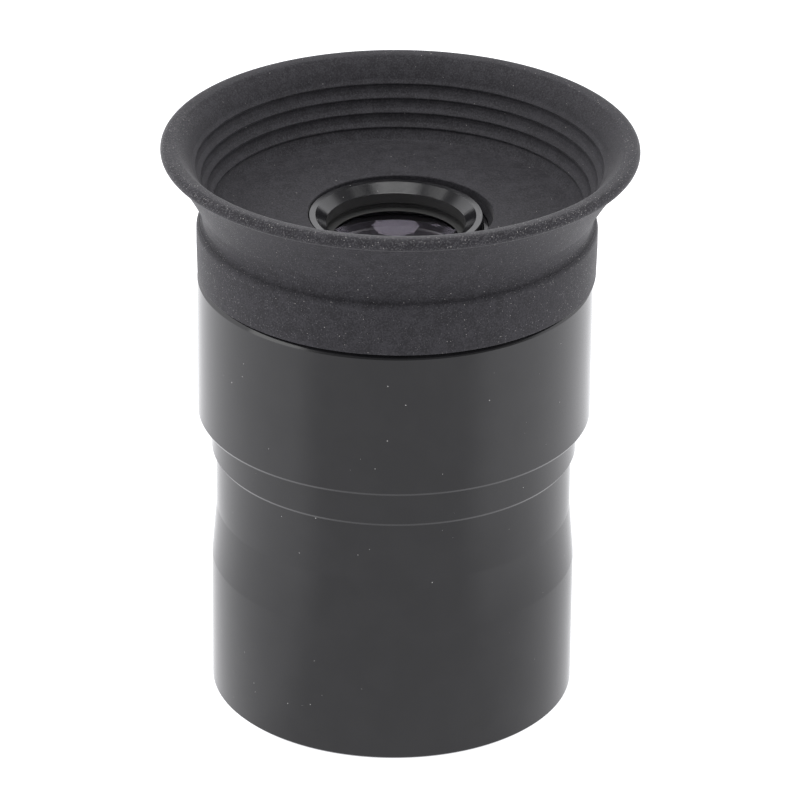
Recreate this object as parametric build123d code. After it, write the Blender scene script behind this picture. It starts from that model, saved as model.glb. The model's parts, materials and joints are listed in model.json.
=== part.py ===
"""Telescope eyepiece with a 1.25-inch nosepiece, in millimetres.

The optical axis is Z. The origin is the centre of the barrel's open end, the end that
goes into the telescope, and +Z points to the observer's eye.
Nearly every piece is turned, so it is an outline of (radius, height) corners revolved about Z.
"""

import os
from math import copysign, sqrt

from build123d import *

# Fits, as radial gaps
running_gap = 0.08  # between pieces that turn or slide on each other
seated_gap = 0.04  # between pieces that stay together

# Nosepiece barrel
barrel_radius = 31.75 / 2
barrel_top = 26.17  # where the housing begins
lower_land_top = 12.3
undercut_bottom = 17.2
undercut_top = 22.7
undercut_radius = 15.46
spigot_foot = 15.8  # a short tapered spigot that centres the barrel in the housing
spigot_end = 15.65
spigot_height = 0.4
counterbore_radius = 15.955
end_chamfer = 0.15
edge_break = (0.12, 0.21)  # steep bevel (inwards, upwards) under the upper land and the housing
filter_crest = 13.92  # M28.5 x 0.6 filter thread, measured at its crests
filter_pitch = 0.6
filter_depth = 0.33
filter_turns = 7
filter_mouth = 14.45
cell_bore = 13.4
cell_seat = 16.0
throat_radius = 12.4
baffle_seat = 22.0
upper_bore = 13.0
glare_pitch = 0.75  # fine grooves that kill stray light
glare_depth = 0.25

# Screwed joint between barrel and housing
joint_pitch = 0.75
joint_depth = 0.35
joint_radius = 14.55
joint_top = 30.0

# Housing
housing_radius = 17.05
housing_top = 39.33
housing_upper_chamfer = 0.4
stop_ledge = 30.92
lock_bore = 12.1
cell_shoulder = 34.6
cell_sleeve = 10.6
plate_bottom = 42.0
plate_top = 43.45
plate_hole = 7.6
neck_radius = 15.2
groove_radius = 14.4
groove_bottom = 40.6
groove_top = 42.0

# Rubber eyecup
band_foot_radius = 17.15
band_radius = 17.22
band_foot = 39.41
band_top = 44.1
band_rounding = 0.75
crease = (16.45, 44.3)
snap_lip = 0.6
floor_underside = 43.55
floor_top = 44.72
floor_hole = 7.97
flare_foot_inner = 15.45
flare_foot_outer = 16.62
flare_waist = (17.75, 47.15)
flare_end = (19.88, 50.3)
lip_underside = (20.17, 50.39)
lip_outermost = (20.45, 50.95)
lip_crest = (19.95, 51.43)
lip_inner = (19.12, 51.33)
throat_waist = (18.2, 50.38)
ridges = [(15.88, 45.78), (16.4, 46.93), (16.92, 48.1), (17.42, 49.27)]  # inside the throat
ridge_undercut = (0.24, -0.14)  # steps (outwards, upwards) from a ridge's nose
ridge_wall = (0.16, -0.5)
ridge_slope = (-0.08, -0.8)
ridge_top = (17.75, 49.62)
throat_foot = (15.66, 45.06)

# Lens cell
nose_radius = 7.5
nose_top = 44.55
countersink_radius = 6.9
window_radius = 6.0
window_top = 43.86
window_bottom = 42.86
recess_radius = 6.35  # widens below the window, down to the lip that holds the eye lens
recess_bottom = 42.48
eye_lip = 42.41
eye_clear = 5.45
eye_lens_radius = 6.8
stack_step = 36.3
stack_radius = 8.0
cell_bottom = 31.9

# Lenses. A positive curve is domed upwards.
eye_top = 42.1
eye_top_curve = -80
eye_bottom = 39.1
eye_bottom_curve = -16
centre_top = 37.4
centre_top_curve = 16
centre_joint = 33.5
centre_joint_curve = -28
centre_bottom = 32.4
centre_bottom_curve = -60
field_top = 13.0
field_top_curve = -18
field_joint = 12.2
field_joint_curve = 40
field_bottom = 10.0
field_bottom_curve = -80

# Rings that hold the optics
spacer_inner = 5.7
ring_inner = 7.2
lock_top = cell_bottom
lock_bottom = 30.97
lock_inner = 9.5
stop_radius = 14.3
stop_thickness = 0.8
stop_opening = 7.5
baffle_opening = 8.5
baffle_thickness = 0.6
field_lip = 14.9
field_cell_bottom = 8.9
slot_width = 1.2
slot_depth = 0.5


def turned(*outline):
    """A solid turned about Z. A corner is (radius, height), or (radius, height, rounding)."""
    corners = [corner[:2] for corner in outline]
    roundings = [corner[2] if len(corner) > 2 else 0 for corner in outline]
    profile = make_face(FilletPolyline(*corners, radius=roundings, close=True))
    return revolve(Plane.XZ * profile, Axis.Z)


def thread(crest, root, start, pitch, turns):
    """Corners of a row of V-grooves that run up from start, as a thread's section looks."""
    corners = []
    for turn in range(turns):
        foot = start + turn * pitch
        corners += [(crest, foot + pitch / 8), (root, foot + pitch / 2), (crest, foot + pitch * 7 / 8)]
    return corners


def surface_height(apex, curve, radius):
    """Height of a spherical lens surface at a distance from the axis."""
    drop = abs(curve) - sqrt(curve**2 - radius**2)
    return apex - copysign(drop, curve)


def lens(radius, top, top_curve, bottom, bottom_curve):
    """A lens with ground edges, given the heights of its two apexes and their curves."""

    def point(apex, curve, share):
        return (radius * share, surface_height(apex, curve, radius * share))

    upper = ThreePointArc((0, top), point(top, top_curve, 0.5), point(top, top_curve, 1))
    lower = ThreePointArc(point(bottom, bottom_curve, 1), point(bottom, bottom_curve, 0.5), (0, bottom))
    edge = Line(upper @ 1, lower @ 0)
    axis = Line(lower @ 1, upper @ 0)
    return revolve(Plane.XZ * make_face([upper, edge, lower, axis]), Axis.Z)


def slotted(ring, radius, underside):
    """Cuts the two spanner slots across a ring's underside."""
    slot = Box(2 * radius + 2, slot_width, 2 * slot_depth)
    return ring - Pos(0, 0, underside) * slot


def make_barrel():
    filter_end = filter_pitch * (filter_turns + 1)
    shoulder = barrel_top + spigot_height
    joint_turns = int((joint_top - shoulder - 0.6) / joint_pitch)
    glare_turns = int((joint_top - baffle_seat - 1.6) / glare_pitch)
    inside = [
        (filter_mouth, 0),
        (filter_crest, filter_mouth - filter_crest),
        *thread(filter_crest, filter_crest + filter_depth, filter_pitch, filter_pitch, filter_turns),
        (filter_crest, filter_end),
        (cell_bore, filter_end + 0.3),
        (cell_bore, cell_seat),
        (throat_radius, cell_seat),
        *thread(throat_radius, throat_radius + glare_depth, cell_seat + 0.5, glare_pitch, 6),
        (throat_radius, baffle_seat),
        (upper_bore, baffle_seat),
        *thread(upper_bore, upper_bore + glare_depth, baffle_seat + 1.2, glare_pitch, glare_turns),
        (upper_bore, joint_top),
    ]
    neck = thread(joint_radius, joint_radius - joint_depth, shoulder + 0.4, joint_pitch, joint_turns)
    outside = [
        (joint_radius - 0.2, joint_top),
        (joint_radius, joint_top - 0.2),
        *reversed(neck),
        (joint_radius, shoulder),
        (spigot_end, shoulder),
        (spigot_foot, barrel_top),
        (barrel_radius, barrel_top),
        (barrel_radius, undercut_top + edge_break[1]),
        (barrel_radius - edge_break[0], undercut_top),
        (undercut_radius, undercut_top),
        (undercut_radius, undercut_bottom),
        (barrel_radius, lower_land_top),
        (barrel_radius, end_chamfer),
        (barrel_radius - end_chamfer, 0),
    ]
    return turned(*inside, *outside)


def make_housing():
    shoulder = barrel_top + spigot_height
    return turned(
        (counterbore_radius, barrel_top),
        (counterbore_radius, shoulder),
        (joint_radius + running_gap + 0.3, shoulder),
        (joint_radius + running_gap, shoulder + 0.3),
        (joint_radius + running_gap, stop_ledge),
        (lock_bore, stop_ledge),
        (lock_bore, cell_shoulder),
        (cell_sleeve, cell_shoulder),
        (cell_sleeve, plate_bottom),
        (plate_hole, plate_bottom),
        (plate_hole, plate_top),
        (neck_radius - 0.3, plate_top),
        (neck_radius, plate_top - 0.3),
        (neck_radius, groove_top),
        (groove_radius, groove_top),
        (groove_radius, groove_bottom),
        (neck_radius, groove_bottom),
        (neck_radius, housing_top),
        (housing_radius - housing_upper_chamfer, housing_top),
        (housing_radius, housing_top - housing_upper_chamfer),
        (housing_radius, barrel_top + edge_break[1]),
        (housing_radius - edge_break[0], barrel_top),
    )


def make_eyecup_base():
    """Seat band, snap lip and floor of the eyecup, up to the level of the floor."""
    seat = neck_radius + running_gap
    return turned(
        (floor_hole, floor_underside),
        (floor_hole, floor_top, 0.15),
        (flare_foot_outer, floor_top),
        (*crease, 0.2),
        (band_radius, band_top, band_rounding),
        (band_radius, band_top - 2),
        (band_foot_radius, band_foot, 0.15),
        (seat, band_foot),
        (seat, groove_bottom + 0.15),
        (seat - snap_lip, groove_bottom + 0.15),
        (seat - snap_lip, groove_top - 0.15),
        (seat, groove_top - 0.15),
        (seat, floor_underside),
    )


def make_eyecup_flare():
    """The flexible flare: a trumpet with undercut ridges inside and a rounded lip."""
    outer = ThreePointArc((flare_foot_outer, floor_top), flare_waist, flare_end)
    tuck = Line(flare_end, lip_underside)
    lip = ThreePointArc(lip_underside, lip_outermost, lip_crest)
    lip_face = Line(lip_crest, lip_inner)
    throat = ThreePointArc(lip_inner, throat_waist, ridge_top)
    corners = [ridge_top]
    for ridge in reversed(ridges):
        steps = [(0, 0), ridge_undercut]
        if ridge != ridges[0]:
            steps += [ridge_wall, ridge_slope]
        corners += [(ridge[0] + out, ridge[1] + rise) for out, rise in steps]
    wall = Polyline(*corners, throat_foot, (flare_foot_inner, floor_top))
    foot = Line(wall @ 1, outer @ 0)
    profile = make_face([outer, tuck, lip, lip_face, throat, wall, foot])
    return revolve(Plane.XZ * profile, Axis.Z)


def make_lens_cell():
    bore = stack_radius + seated_gap
    return turned(
        (bore, cell_bottom),
        (bore, stack_step),
        (eye_lens_radius + seated_gap, stack_step),
        (eye_lens_radius + seated_gap, eye_lip),
        (eye_clear, eye_lip),
        (eye_clear, eye_lip + 0.02),
        (recess_radius, recess_bottom),
        (recess_radius, window_bottom),
        (window_radius + 0.1, window_bottom),
        (window_radius, window_bottom + 0.1),
        (window_radius, window_top),
        (countersink_radius, nose_top),
        (nose_radius - 0.08, nose_top),
        (nose_radius, nose_top - 0.08),
        (nose_radius, plate_bottom - 0.05),
        (cell_sleeve - seated_gap, plate_bottom - 0.05),
        (cell_sleeve - seated_gap, cell_shoulder),
        (lock_bore - seated_gap, cell_shoulder),
        (lock_bore - seated_gap, cell_bottom),
    )


def make_cell_lock_ring():
    outer = lock_bore - seated_gap
    ring = turned((lock_inner, lock_bottom), (lock_inner, lock_top), (outer, lock_top), (outer, lock_bottom))
    return slotted(ring, outer, lock_bottom)


def make_lens_spacer():
    """Ring between the eye lens and the centre doublet, touching both near its inner edge."""
    top = surface_height(eye_bottom, eye_bottom_curve, spacer_inner) - 0.01
    bottom = surface_height(centre_top, centre_top_curve, spacer_inner) + 0.01
    return turned(
        (spacer_inner, bottom), (spacer_inner, top), (eye_lens_radius, top), (eye_lens_radius, bottom)
    )


def make_retaining_ring(lens_bottom, lens_bottom_curve, height):
    """Threaded ring under a lens of the stack's size, touching it near the ring's inner edge."""
    top = surface_height(lens_bottom, lens_bottom_curve, ring_inner) - 0.01
    outer = stack_radius
    ring = turned((ring_inner, top - height), (ring_inner, top), (outer, top), (outer, top - height))
    return slotted(ring, outer, top - height)


def make_field_stop():
    """Knife-edged diaphragm that lies on the barrel's upper end."""
    return turned(
        (stop_opening + 1.2, joint_top),
        (stop_opening, joint_top + stop_thickness - 0.1),
        (stop_opening, joint_top + stop_thickness),
        (stop_radius, joint_top + stop_thickness),
        (stop_radius, joint_top),
    )


def make_baffle_ring():
    outer = upper_bore - seated_gap
    return turned(
        (baffle_opening, baffle_seat + baffle_thickness - 0.1),
        (baffle_opening, baffle_seat + baffle_thickness),
        (outer, baffle_seat + baffle_thickness),
        (outer, baffle_seat),
        (baffle_opening + 1, baffle_seat),
    )


def make_field_cell():
    bore = stack_radius + seated_gap
    cell = turned(
        (bore + 0.4, field_cell_bottom),
        (bore, field_cell_bottom + 0.4),
        (bore, field_lip),
        (ring_inner, field_lip),
        (ring_inner, field_lip + 0.15),
        (ring_inner + 1.4, cell_seat),
        (cell_bore - seated_gap, cell_seat),
        (cell_bore - seated_gap, field_cell_bottom),
    )
    spanner_notch = Box(2.4, slot_width, 2 * slot_depth)
    for side in (-1, 1):
        cell -= Pos(side * cell_bore, 0, field_cell_bottom) * spanner_notch
    return cell


sub_parts = {
    "barrel": make_barrel(),
    "housing": make_housing(),
    "eyecup_base": make_eyecup_base(),
    "eyecup_flare": make_eyecup_flare(),
    "lens_cell": make_lens_cell(),
    "cell_lock_ring": make_cell_lock_ring(),
    "eye_lens": lens(eye_lens_radius, eye_top, eye_top_curve, eye_bottom, eye_bottom_curve),
    "lens_spacer": make_lens_spacer(),
    "centre_lens_crown": lens(
        stack_radius, centre_top, centre_top_curve, centre_joint, centre_joint_curve
    ),
    "centre_lens_flint": lens(
        stack_radius, centre_joint, centre_joint_curve, centre_bottom, centre_bottom_curve
    ),
    "lens_retaining_ring": make_retaining_ring(centre_bottom, centre_bottom_curve, 0.9),
    "field_stop": make_field_stop(),
    "baffle_ring": make_baffle_ring(),
    "field_cell": make_field_cell(),
    "field_lens_concave": lens(stack_radius, field_top, field_top_curve, field_joint, field_joint_curve),
    "field_lens_convex": lens(stack_radius, field_joint, field_joint_curve, field_bottom, field_bottom_curve),
    "field_retaining_ring": make_retaining_ring(field_bottom, field_bottom_curve, 1.2),
}

os.makedirs("parts", exist_ok=True)
for name, shape in sub_parts.items():
    export_step(shape, f"parts/{name}.step")
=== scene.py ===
"""Looks of a telescope eyepiece around its CAD frame: rubber eyecup, finishes, studio and camera.

Places are in metres in the frame's own axes: the optical axis is Z, and the eye end is up.
Outlines for the lathe are (radius, height) in millimetres, as on a drawing of the part.
"""

import json
import math

import bmesh
import bpy
import numpy as np
from mathutils import Matrix, Vector


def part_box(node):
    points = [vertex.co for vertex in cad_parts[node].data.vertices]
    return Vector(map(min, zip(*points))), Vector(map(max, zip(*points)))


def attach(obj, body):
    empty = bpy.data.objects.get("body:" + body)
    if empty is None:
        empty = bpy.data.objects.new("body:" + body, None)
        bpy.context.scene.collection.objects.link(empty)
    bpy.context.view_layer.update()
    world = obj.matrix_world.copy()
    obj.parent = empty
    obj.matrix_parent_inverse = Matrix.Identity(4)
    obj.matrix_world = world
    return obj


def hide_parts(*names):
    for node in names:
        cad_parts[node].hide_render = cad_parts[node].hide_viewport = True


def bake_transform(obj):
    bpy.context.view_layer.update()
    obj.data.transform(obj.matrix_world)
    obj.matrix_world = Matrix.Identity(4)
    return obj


MM = 0.001
WELD = 1e-8

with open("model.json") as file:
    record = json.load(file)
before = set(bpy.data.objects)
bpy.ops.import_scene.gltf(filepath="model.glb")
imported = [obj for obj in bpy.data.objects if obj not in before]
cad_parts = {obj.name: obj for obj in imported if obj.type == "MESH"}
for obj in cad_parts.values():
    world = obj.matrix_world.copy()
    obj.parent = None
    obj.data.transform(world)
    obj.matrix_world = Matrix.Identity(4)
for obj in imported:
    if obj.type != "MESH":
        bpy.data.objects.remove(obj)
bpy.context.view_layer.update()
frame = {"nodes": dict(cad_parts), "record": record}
scene = bpy.context.scene
scene.view_settings.view_transform = "Standard"


# ---------------------------------------------------------------- eyecup mesh

FLOOR_TOP = 44.72
LIP_CREST = 51.43
SEAT_TOP = 43.6
THROAT_FOOT = 15.4
FLOOR_WIDTH = 7.4
SEAT_LEAN, LIP_LEAN, HOLE_LEAN = 0.12, 0.22, 0.27
LONGEST_STEP = 0.3
EYECUP_SEGMENTS, LENS_SEGMENTS = 320, 200


def arc(start, through, end, steps):
    """Points along the circle through three points, without the last one."""
    a, b, c = (complex(*p) for p in (start, through, end))
    w = (c - a) / (b - a)
    centre = (b - a) * (w - abs(w) ** 2) / (2j * w.imag) + a
    first = math.atan2((a - centre).imag, (a - centre).real)
    middle = math.atan2((b - centre).imag, (b - centre).real)
    last = math.atan2((c - centre).imag, (c - centre).real)
    turn = (last - first) % (2 * math.pi)
    if (middle - first) % (2 * math.pi) > turn:
        turn -= 2 * math.pi
    radius = abs(a - centre)
    made = []
    for i in range(steps):
        angle = first + turn * i / steps
        made.append((centre.real + radius * math.cos(angle), centre.imag + radius * math.sin(angle)))
    return made


def rounded(corners, closed=True):
    """The outline of (r, z) or (r, z, rounding) corners, with each rounding drawn as a short arc."""
    out = []
    count = len(corners)
    steps = 8
    for i, corner in enumerate(corners):
        r, z = corner[:2]
        size = corner[2] if len(corner) > 2 else 0
        if not size or (not closed and i in (0, count - 1)):
            out.append((r, z))
            continue
        here = Vector((r, z))
        before = (Vector(corners[i - 1][:2]) - here).normalized()
        after = (Vector(corners[(i + 1) % count][:2]) - here).normalized()
        half = before.angle(after) / 2
        run = size / math.tan(half)
        centre = here + (before + after).normalized() * (size / math.sin(half))
        first, last = here + before * run, here + after * run
        for k in range(steps + 1):
            spoke = ((first - centre) * (1 - k / steps) + (last - centre) * (k / steps)).normalized()
            out.append(tuple(centre + spoke * size))
    return out


def dense(outline, longest):
    """The closed outline again, with points added so that no step is longer than that."""
    out = []
    for i, (r, z) in enumerate(outline):
        r2, z2 = outline[(i + 1) % len(outline)]
        steps = max(1, math.ceil(math.hypot(r2 - r, z2 - z) / longest))
        for k in range(steps):
            out.append((r + (r2 - r) * k / steps, z + (z2 - z) * k / steps))
    return out


def lathe(name, outline, segments, lean=None, crisp=None):
    """A mesh turned about Z from a closed outline in millimetres.

    lean(r, z) moves a ring along X, and edges sharper than the angle crisp stay sharp.
    """
    co, faces = [], []
    n = len(outline)
    for s in range(segments):
        a = 2 * math.pi * s / segments
        for r, z in outline:
            shift = lean(r, z) if lean else 0
            co.append(((r * math.cos(a) + shift) * MM, r * math.sin(a) * MM, z * MM))
    for s in range(segments):
        t = (s + 1) % segments
        for i in range(n):
            j = (i + 1) % n
            faces.append((s * n + i, t * n + i, t * n + j, s * n + j))
    mesh = bpy.data.meshes.new(name)
    mesh.from_pydata(co, [], faces)
    whole = bmesh.new()
    whole.from_mesh(mesh)
    bmesh.ops.remove_doubles(whole, verts=whole.verts, dist=WELD)
    whole.to_mesh(mesh)
    whole.free()
    mesh.shade_smooth()
    if crisp:
        mesh.set_sharp_from_angle(angle=crisp)
    mesh.update()
    obj = bpy.data.objects.new(name, mesh)
    scene.collection.objects.link(obj)
    return obj


def eyecup_outline():
    """The moulding's section, from the foot of the throat round to the flare and the lip."""
    corners = [(15.66, 45.06, 0.12), (15.4, FLOOR_TOP + 0.04, 0.3), (14.9, FLOOR_TOP)]
    corners += [(7.97, FLOOR_TOP, 0.12), (7.97, 43.55, 0.05)]
    corners += [(15.28, 43.55), (15.28, 41.85), (14.68, 41.85), (14.68, 40.75), (15.28, 40.75)]
    corners += [(15.28, 39.41), (17.15, 39.41, 0.12), (17.22, 42.1), (17.22, 44.02, 0.6)]
    flare_foot, flare_top, lip_foot = (17.1, 45.9), (19.88, 50.3), (20.17, 50.39)
    crest, lip_inside, throat_top = (19.95, LIP_CREST), (19.12, 51.33), (17.75, 49.62)
    corners += [(16.66, 44.25, 0.5), (16.88, 45.2, 0.8), flare_foot]
    outer = arc(flare_foot, (17.85, 47.3), flare_top, 36)
    tuck = arc(flare_top, (20.0, 50.36), lip_foot, 4)
    lip = arc(lip_foot, (20.45, 50.95), crest, 22)
    lip_face = arc(crest, (19.55, 51.405), lip_inside, 8)
    throat = arc(lip_inside, (18.2, 50.38), throat_top, 18)
    inside = [throat_top]
    ridges = ((17.42, 49.27), (16.92, 48.1), (16.4, 46.93), (15.88, 45.78))
    for r, z in ridges:
        inside += [(r, z, 0.1), (r + 0.17, z - 0.16, 0.1)]
        if (r, z) != ridges[-1]:
            inside += [(r + 0.12, z - 0.45, 0.3), (r - 0.08, z - 0.8, 0.5)]
    first = rounded(corners, closed=False)
    last = rounded(inside + [corners[0][:2]], closed=False)[:-1]
    return dense(first[:-1] + outer + tuck + lip + lip_face + throat + last, LONGEST_STEP)


def askew(r, z):
    """How far the moulding sits to one side: more towards its lip and the hole in its floor."""
    if r < THROAT_FOOT and z < SEAT_TOP:
        return 0.0
    upward = max(0.0, (z - SEAT_TOP) / (LIP_CREST - SEAT_TOP))
    inward = max(0.0, (THROAT_FOOT - r) / FLOOR_WIDTH)
    return SEAT_LEAN + LIP_LEAN * upward + HOLE_LEAN * inward


eyecup = lathe("eyecup", eyecup_outline(), EYECUP_SEGMENTS, askew)
# The moulding's own coordinates, so that its grain stays with the rubber when it is posed
mould = eyecup.data.attributes.new("mould", "FLOAT_VECTOR", "POINT")
mould.data.foreach_set("vector", np.array([v.co for v in eyecup.data.vertices], np.float32).ravel())

# ---------------------------------------------------------------- finishes


class Tree:
    """The node tree of a material or of the world, whose shader it feeds."""

    def __init__(self, owner, shader="Principled BSDF", **sockets):
        owner.use_nodes = True
        self.owner = owner
        self.nodes = owner.node_tree.nodes
        self.links = owner.node_tree.links
        self.shader = self.nodes[shader]
        for key, value in sockets.items():
            self.shader.inputs[key.replace("_", " ")].default_value = value

    def node(self, kind, *inputs, output=0, **settings):
        """Adds a node and returns one of its outputs. An input is a socket, a value or None."""
        made = self.nodes.new(kind)
        for key, value in settings.items():
            setattr(made, key, value)
        for socket, value in zip(made.inputs, inputs):
            if value is None:
                continue
            if isinstance(value, bpy.types.NodeSocket):
                self.links.new(value, socket)
            else:
                socket.default_value = value
        return made.outputs[output]

    def math(self, operation, *values):
        return self.node("ShaderNodeMath", *values, operation=operation)

    def times(self, first, second):
        return self.math("MULTIPLY", first, second)

    def both(self, first, second):
        """1 where two tests are both 1, and 0 elsewhere."""
        return self.times(first, second)

    def place(self):
        """Object coordinates."""
        return self.node("ShaderNodeTexCoord", output=3)

    def parts(self, vector):
        """The X, Y and Z of a vector, or the red, green and blue of a colour."""
        made = self.nodes.new("ShaderNodeSeparateXYZ")
        self.links.new(vector, made.inputs[0])
        return made.outputs[0], made.outputs[1], made.outputs[2]

    def noise(self, vector, scale, detail=2.0, roughness=0.5):
        return self.node("ShaderNodeTexNoise", vector, None, scale, detail, roughness)

    def radius(self, x, y):
        """Distance from the optical axis."""
        return self.math("SQRT", self.math("ADD", self.times(x, x), self.times(y, y)))

    def between(self, value, low, high, start=0.0, end=1.0):
        """Maps low..high smoothly on start..end."""
        return self.node(
            "ShaderNodeMapRange", value, low, high, start, end, interpolation_type="SMOOTHSTEP"
        )

    def colour(self, factor, first, second):
        made = self.nodes.new("ShaderNodeMix")
        made.data_type = "RGBA"
        for socket, value in ((0, factor), (6, first), (7, second)):
            if isinstance(value, bpy.types.NodeSocket):
                self.links.new(value, made.inputs[socket])
            else:
                made.inputs[socket].default_value = (*value, 1.0)
        return made.outputs[2]

    def bump(self, height, distance, strength=1.0, before=None):
        made = self.nodes.new("ShaderNodeBump")
        made.inputs["Strength"].default_value = strength
        made.inputs["Distance"].default_value = distance
        self.links.new(height, made.inputs["Height"])
        if before is not None:
            self.links.new(before, made.inputs["Normal"])
        return made.outputs[0]

    def specks(self, at, scale, size, share):
        """1 in small grains, in a share of the cells of a grid with that many cells to a metre.

        size is the largest grain's radius, in cells.
        """
        cells = self.nodes.new("ShaderNodeTexVoronoi")
        cells.inputs["Scale"].default_value = scale
        self.links.new(at, cells.inputs["Vector"])
        chance, girth, _ = self.parts(cells.outputs["Color"])
        reach = self.times(self.math("MULTIPLY_ADD", girth, 0.7, 0.3), size)
        near = self.math("LESS_THAN", cells.outputs["Distance"], reach)
        return self.both(near, self.math("LESS_THAN", chance, share))

    def source(self, socket):
        """What feeds a socket of the shader now."""
        return self.shader.inputs[socket].links[0].from_socket

    def set(self, socket, value):
        self.links.new(value, self.shader.inputs[socket])


def rubber():
    """Matt rubber with a fine grain. Dust clings to its outside and to its near lip; towards the left and
    right flanks its outside gets denser light specks, partly dust and partly a painted rim highlight.
    """
    flare_start, flare_slope = 0.0447, 0.5
    skin_inner, skin_outer = 0.016, 0.0162
    lip_foot, lip_top = 0.0502, 0.0508
    front, back = -0.008, 0.002
    middle, flanks = 0.004, 0.017
    dark_rubber, pale_rubber = (0.029, 0.0279, 0.0314), (0.0484, 0.0467, 0.0524)
    powder_colour, fine_colour, dust_colour = (0.16, 0.155, 0.16), (0.28, 0.275, 0.28), (0.4, 0.385, 0.37)
    grain_depth = 0.000014

    material = bpy.data.materials.new("eyecup_rubber")
    f = Tree(material, Specular_IOR_Level=0.12, Sheen_Weight=0.2, Sheen_Roughness=0.3)
    at = f.node("ShaderNodeAttribute", attribute_name="mould", output=1)
    x, y, height = f.parts(at)
    above = f.math("MAXIMUM", f.math("SUBTRACT", height, flare_start), 0.0)
    straightened = f.math("MULTIPLY_ADD", above, -flare_slope, f.radius(x, y))
    outside = f.between(straightened, skin_inner, skin_outer)
    near_side = f.between(f.math("MULTIPLY_ADD", x, 0.5, y), back, front)
    lip = f.times(f.between(height, lip_foot, lip_top), f.between(near_side, 0.0, 1.0, 0.12, 1.0))
    # Painted rim highlight, partly: the outside gets denser light specks towards the left and right flanks,
    # besides the dust there.
    flank_dust_and_rim_light = f.between(f.math("ABSOLUTE", x), middle, flanks, 0.4, 1.0)

    mottle = f.noise(at, 900, 4.0, 0.65)
    grain = f.noise(at, 6500, 3.0, 0.6)
    shade = f.math("MULTIPLY_ADD", mottle, 0.4, f.times(grain, 0.6))
    plain = f.colour(f.between(shade, 0.4, 0.6), dark_rubber, pale_rubber)
    powder = f.times(f.between(grain, 0.5, 0.72), f.between(lip, 0.0, 1.0, 0.05, 0.5))
    powdered = f.colour(powder, plain, powder_colour)
    fine = f.times(f.specks(at, 6500, 0.22, 0.6), f.between(outside, 0.0, 1.0, 0.2, flank_dust_and_rim_light))
    dusted_and_rim_lit = f.colour(fine, powdered, fine_colour)

    sparse = f.specks(at, 1500, 0.07, 0.4)
    settled = f.times(f.specks(at, 2600, 0.1, 0.5), outside)
    flank_specks_and_rim_light = f.times(f.specks(at, 3700, 0.15, 0.5), f.times(outside, f.between(flank_dust_and_rim_light, 0.7, 1.0)))
    on_lip = f.times(f.specks(at, 4200, 0.18, 0.5), lip)
    dust = f.math("MAXIMUM", f.math("MAXIMUM", sparse, settled), f.math("MAXIMUM", on_lip, flank_specks_and_rim_light))
    f.set("Base Color", f.colour(dust, dusted_and_rim_lit, dust_colour))
    f.set("Roughness", f.between(mottle, 0.3, 0.7, 0.52, 0.64))
    f.set("Normal", f.bump(grain, grain_depth))
    return material


def anodised():
    """Black anodised metal with fine turning lines and a few specks of dust."""
    dark, pale, dust_colour = (0.0085, 0.0083, 0.0096), (0.0115, 0.0112, 0.0126), (0.4, 0.39, 0.38)
    round_share, outward_share = 0.03, 0.8
    line_depth = 0.0000004

    material = bpy.data.materials.new("anodised_metal")
    f = Tree(material, IOR=1.5)
    at = f.place()
    x, y, z = f.parts(at)
    mottle = f.noise(at, 260, 3.0, 0.6)
    black = f.colour(f.between(mottle, 0.35, 0.65), dark, pale)
    f.set("Base Color", f.colour(f.specks(at, 1000, 0.055, 0.5), black, dust_colour))
    # The lines hardly change round the axis, and quickly along it and outwards.
    along = f.math("MULTIPLY_ADD", f.radius(x, y), outward_share, z)
    turning = f.node("ShaderNodeCombineXYZ", f.times(x, round_share), f.times(y, round_share), along)
    lines = f.noise(turning, 14000, 2.0)
    f.set("Roughness", f.between(lines, 0.3, 0.7, 0.1, 0.15))
    f.set("Normal", f.bump(lines, line_depth))
    return material


def cell_finish(metal):
    """The lens cell is anodised too, with turning grooves in its mouth and a rougher bore round the lens,
    coloured lighter grey as painted fill light in that dark recess.
    """
    bore_radius, bore_top = 0.0081, 0.04385
    mouth_radius, mouth_foot = 0.00688, 0.0439
    groove_pitch, groove_depth = 0.00009, 0.0000008
    bore_painted_light_colour, dull_roughness = (0.05, 0.05, 0.049), 0.35

    material = metal.copy()
    material.name = "lens_cell_metal"
    f = Tree(material)
    x, y, z = f.parts(f.place())
    radius = f.radius(x, y)
    bore = f.both(f.math("LESS_THAN", radius, bore_radius), f.math("LESS_THAN", z, bore_top))
    # Painted fill light: the bore is coloured a lighter grey than the anodising, standing in for light
    # reaching into the recess.
    f.set("Base Color", f.colour(bore, f.source("Base Color"), bore_painted_light_colour))
    f.set("Roughness", f.math("MULTIPLY_ADD", bore, dull_roughness, f.source("Roughness")))
    grooves = f.math("SINE", f.times(radius, 2 * math.pi / groove_pitch))
    mouth = f.both(f.math("LESS_THAN", radius, mouth_radius), f.math("GREATER_THAN", z, mouth_foot))
    f.set("Normal", f.bump(f.times(grooves, mouth), groove_depth, before=f.source("Normal")))
    return material


def blackened(name, first, second):
    """Dull black metal, mottled between two colours."""
    material = bpy.data.materials.new(name)
    f = Tree(material)
    mottle = f.noise(f.place(), 500, 3.0, 0.6)
    f.set("Base Color", f.colour(f.between(mottle, 0.35, 0.65), first, second))
    f.set("Roughness", f.between(mottle, 0.3, 0.7, 0.4, 0.55))
    return material


def glass(name, tint):
    """Clear glass with a faint lavender cast. tint colours and weakens what it mirrors face on."""
    material = bpy.data.materials.new(name)
    cast = (0.88, 0.85, 0.95, 1.0)
    Tree(
        material, Roughness=0.0, IOR=1.6, Transmission_Weight=1.0, Base_Color=cast,
        Specular_Tint=(*tint, 1.0),
    )
    return material


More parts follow.
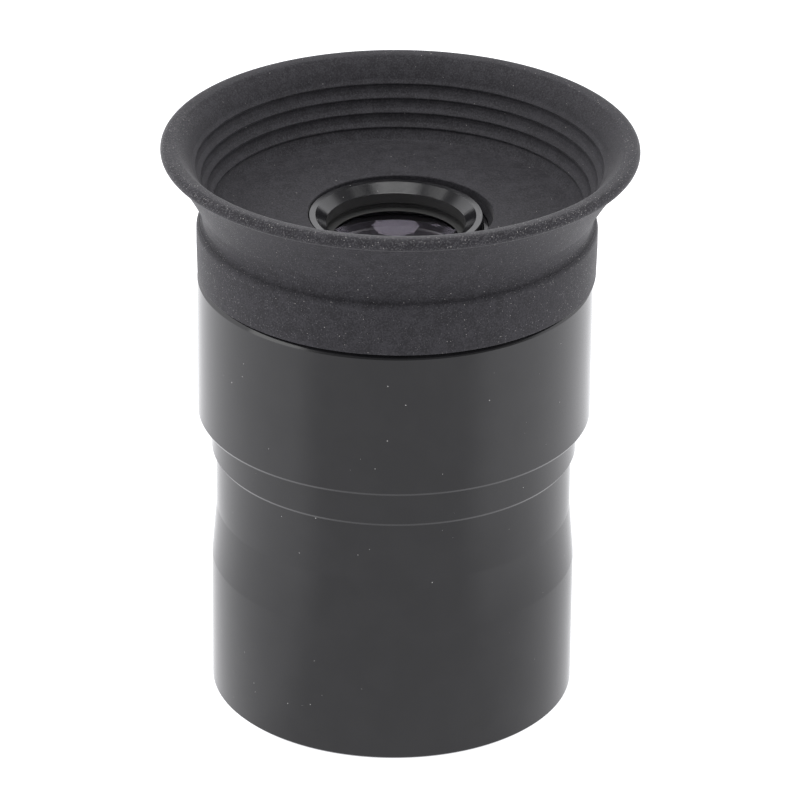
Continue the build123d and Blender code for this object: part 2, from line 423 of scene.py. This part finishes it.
finishes = {
    "anodised_metal": anodised(),
    "blackened_metal": blackened("blackened_metal", (0.03, 0.03, 0.032), (0.045, 0.045, 0.047)),
    "blackened_brass": blackened("blackened_brass", (0.012, 0.010, 0.008), (0.02, 0.017, 0.013)),
    "eyecup_rubber": rubber(),
    "coated_glass": glass("coated_glass", (0.64, 0.59, 0.66)),
    "optical_glass": glass("optical_glass", (1.0, 0.88, 1.0)),
}
slot_of = {part["node"]: part["material_slot"] for part in frame["record"]["subparts"]}
for name, node in frame["nodes"].items():
    node.data.materials.clear()
    node.data.materials.append(finishes[slot_of[name]])
frame["nodes"]["lens_cell"].data.materials[0] = cell_finish(finishes["anodised_metal"])
eyecup.data.materials.append(finishes["eyecup_rubber"])

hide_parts("eyecup_base", "eyecup_flare")
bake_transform(eyecup)

# ---------------------------------------------------------------- lenses


def sag(curve, radius):
    """How far a lens surface of that radius of curvature departs from its apex's level."""
    return curve - math.sqrt(curve**2 - radius**2)


def lens(name, radius, top, top_curve, bottom, bottom_curve, body, *nodes):
    """A polished lens or cemented pair: plain above, coated below, with an inked edge.

    top and bottom are its apexes in millimetres. A positive curve is domed upwards.
    """
    steps, crease, edge_slope = 40, math.radians(30), 0.05

    def point(apex, curve, share):
        r = radius * share
        return (r, apex - math.copysign(sag(abs(curve), r), curve))

    lower = arc((0, bottom), point(bottom, bottom_curve, 0.5), point(bottom, bottom_curve, 1), steps)
    upper = arc(point(top, top_curve, 1), point(top, top_curve, 0.5), (0, top), steps)
    outline = lower + [point(bottom, bottom_curve, 1)] + upper + [(0, top)]
    made = lathe(name, outline, LENS_SEGMENTS, crisp=crease)
    for finish in ("optical_glass", "coated_glass", "blackened_metal"):
        made.data.materials.append(finishes[finish])
    for face in made.data.polygons:
        face.material_index = 2 if abs(face.normal.z) < edge_slope else int(face.normal.z < 0)
    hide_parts(*nodes)
    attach(made, body)


def heights(upper, lower):
    """Top of the upper node and bottom of the lower one, in millimetres."""
    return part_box(upper)[1][2] / MM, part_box(lower)[0][2] / MM


EYE_RADIUS, STACK_RADIUS = 6.8, 8.0
EYE_CURVES, CENTRE_CURVES, FIELD_CURVES = (80, 16), (16, 60), (18, 80)
eye_rim, eye_bottom = heights("eye_lens", "eye_lens")
eye_top = eye_rim - sag(EYE_CURVES[0], EYE_RADIUS)
lens("eye_glass", EYE_RADIUS, eye_top, -EYE_CURVES[0], eye_bottom, -EYE_CURVES[1], "housing", "eye_lens")
centre_top, centre_bottom = heights("centre_lens_crown", "centre_lens_flint")
lens(
    "centre_doublet", STACK_RADIUS, centre_top, CENTRE_CURVES[0], centre_bottom, -CENTRE_CURVES[1],
    "housing", "centre_lens_crown", "centre_lens_flint",
)
field_rim, field_bottom = heights("field_lens_concave", "field_lens_convex")
field_top = field_rim - sag(FIELD_CURVES[0], STACK_RADIUS)
lens(
    "field_doublet", STACK_RADIUS, field_top, -FIELD_CURVES[0], field_bottom, -FIELD_CURVES[1],
    "barrel", "field_lens_concave", "field_lens_convex",
)

# ---------------------------------------------------------------- studio

TINT = (1.0, 1.0, 1.025, 1.0)
HORIZON_NEAR, HORIZON_FAR, OVERHEAD = 0.65, 1.6, 0.35
BEHIND_CAMERA, ABEAM = -0.95, 0.0
SKY_FOOT, SKY_TOP = 0.57, 0.7
FLOOR, FLOOR_REACH = -0.00002, 4
FLOOR_DIM, FLOOR_GAIN = 1.05, 0.45
# The bearings below bound the floor's painted cast shadow, a wedge in front of the object.
FRONT_SHADOW_CORE, FRONT_SHADOW_EDGE = math.radians(35), math.radians(57)
# The radii and shares below shape the floor's painted contact shadow close to the object, deeper on the
# right.
CONTACT_SHADOW_CORE, CONTACT_SHADOW_EDGE = 0.035, 0.07
LEFT_SHARE, RIGHT_SHARE, SIDE_BLEND = 0.5, 0.15, 0.015
SOFTBOX_HEIGHT = 0.75
SOFTBOXES = {
    "softbox_overhead": (
        4.0,
        [
            (-0.12, -0.14), (0.12, -0.14), (0.19, -0.09), (0.27, 0.095), (0.19, 0.285), (0.0, 0.36),
            (-0.19, 0.285), (-0.27, 0.095), (-0.19, -0.09),
        ],
    ),
    "softbox_left": (3.0, [(-1.05, -0.2), (-0.24, -0.2), (-0.5, 0.175), (-0.96, 0.2)]),
    "softbox_right": (2.2, [(0.285, -0.15), (0.77, 0.07), (0.61, 0.12), (0.43, 0.07)]),
}


def emitter(name, corners, strength, colour=(1.0, 1.0, 1.0, 1.0)):
    """A flat sheet that shines and mirrors nothing."""
    mesh = bpy.data.meshes.new(name)
    mesh.from_pydata(corners, [], [tuple(range(len(corners)))])
    obj = bpy.data.objects.new(name, mesh)
    scene.collection.objects.link(obj)
    black = (0.0, 0.0, 0.0, 1.0)
    f = Tree(
        bpy.data.materials.new(name), Roughness=0.9, Base_Color=black, Specular_IOR_Level=0.0,
        Emission_Color=colour, Emission_Strength=strength,
    )
    mesh.materials.append(f.owner)
    return f


# The air is bright round the horizon, less so behind the camera, and dim overhead.
world = bpy.data.worlds.new("studio")
scene.world = world
air = Tree(world, "Background", Color=TINT)
_, ahead, upward = air.parts(air.node("ShaderNodeTexCoord"))
horizon = air.between(ahead, BEHIND_CAMERA, ABEAM, HORIZON_NEAR, HORIZON_FAR)
air.set("Strength", air.between(upward, SKY_FOOT, SKY_TOP, horizon, OVERHEAD))

# The floor glows beside and behind the object. Its glow carries painted shadows: a painted contact shadow,
# less glow close to the object, and a painted cast shadow of the object, least glow in a wedge in front.
floor_corners = [(x * FLOOR_REACH, y * FLOOR_REACH, FLOOR) for x, y in ((-1, -1), (1, -1), (1, 1), (-1, 1))]
floor = emitter("floor", floor_corners, FLOOR_DIM + FLOOR_GAIN, TINT)
x, y, _ = floor.parts(floor.place())
# Painted cast shadow: the glow is least in a wedge in front of the object.
bearing = floor.math("ABSOLUTE", floor.math("ARCTAN2", x, floor.times(y, -1.0)))
outside_front_shadow = floor.between(bearing, FRONT_SHADOW_CORE, FRONT_SHADOW_EDGE)
# Painted contact shadow: less of the glow close to the object, more so on the right.
contact_shadow_keep = floor.between(x, -SIDE_BLEND, SIDE_BLEND, LEFT_SHARE, RIGHT_SHARE)
share = floor.between(floor.radius(x, y), CONTACT_SHADOW_CORE, CONTACT_SHADOW_EDGE, contact_shadow_keep)
floor.set("Emission Strength", floor.math("MULTIPLY_ADD", floor.times(outside_front_shadow, share), FLOOR_GAIN, FLOOR_DIM))

for name, (strength, corners) in SOFTBOXES.items():
    emitter(name, [(x, y, SOFTBOX_HEIGHT) for x, y in corners], strength)

# ---------------------------------------------------------------- camera

ELEVATION = math.radians(26.3)
ROLL = math.radians(0.6)
DISTANCE = 0.5
FOCAL_LENGTH, SENSOR_WIDTH = 258.5, 36.0
CLIP_START, CLIP_END = 0.05, 20.0
AIM = Vector((0.00052, 0.0, 0.02684))

back = Vector((0.0, -math.cos(ELEVATION), math.sin(ELEVATION)))
up = Vector((0.0, math.sin(ELEVATION), math.cos(ELEVATION)))
right = Vector((1.0, 0.0, 0.0))
camera = bpy.data.objects.new("camera", bpy.data.cameras.new("camera"))
camera.data.lens = FOCAL_LENGTH
camera.data.sensor_width = SENSOR_WIDTH
camera.data.clip_start = CLIP_START
camera.data.clip_end = CLIP_END
facing = Matrix((right, up, back)).transposed() @ Matrix.Rotation(ROLL, 3, "Z")
camera.matrix_world = Matrix.Translation(AIM + back * DISTANCE) @ facing.to_4x4()
scene.collection.objects.link(camera)
scene.camera = camera
